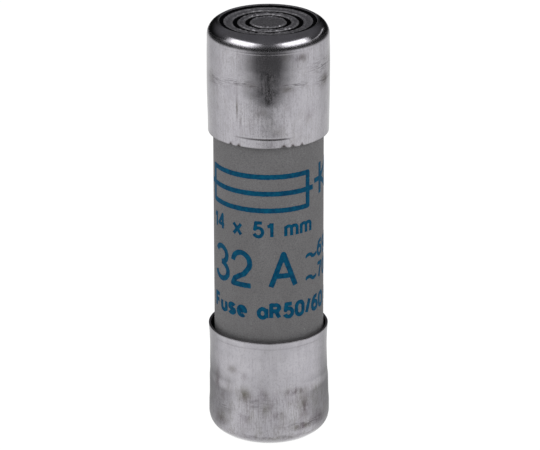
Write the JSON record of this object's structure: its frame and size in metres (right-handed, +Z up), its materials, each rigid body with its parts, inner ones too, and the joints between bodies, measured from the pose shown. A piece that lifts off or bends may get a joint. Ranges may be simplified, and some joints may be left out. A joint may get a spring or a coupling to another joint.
{
  "type": "cylindrical cartridge fuse",
  "caption": "Cylindrical high-speed cartridge fuse: grey ceramic tube with plated contact caps, ringed end faces, and notched silver strips in quartz sand inside.",
  "frame": {"origin": "centre of the lower end face, so the fuse stands on the origin's plane", "axes": "+Z up the fuse's axis to the upper end face, -Y towards the printed side"},
  "size_m": [0.0142, 0.0142, 0.051],
  "materials": {
    "ceramic_body": "unglazed grey steatite, fine-grained and dull",
    "contact_cap_plating": "dull tin plate over drawn copper",
    "inner_cap_brass": "drawn brass, unplated",
    "washer_fibre": "red-brown vulcanised fibre",
    "plug_brass": "turned brass",
    "strip_silver": "rolled silver, satin",
    "solder": "tin solder, smooth and slightly dull",
    "quartz_sand": "packed pale quartz grains"
  },
  "bodies": {
    "root": {"ceramic_tube": "ceramic_body", "lower_contact_cap": "contact_cap_plating", "upper_contact_cap": "contact_cap_plating", "lower_inner_cap": "inner_cap_brass", "upper_inner_cap": "inner_cap_brass", "lower_sealing_washer": "washer_fibre", "upper_sealing_washer": "washer_fibre", "filling_plug": "plug_brass", "front_fuse_strip": "strip_silver", "rear_fuse_strip": "strip_silver", "lower_front_solder_joint": "solder", "lower_rear_solder_joint": "solder", "upper_front_solder_joint": "solder", "upper_rear_solder_joint": "solder", "quartz_sand": "quartz_sand"}
  },
  "joints": []
}
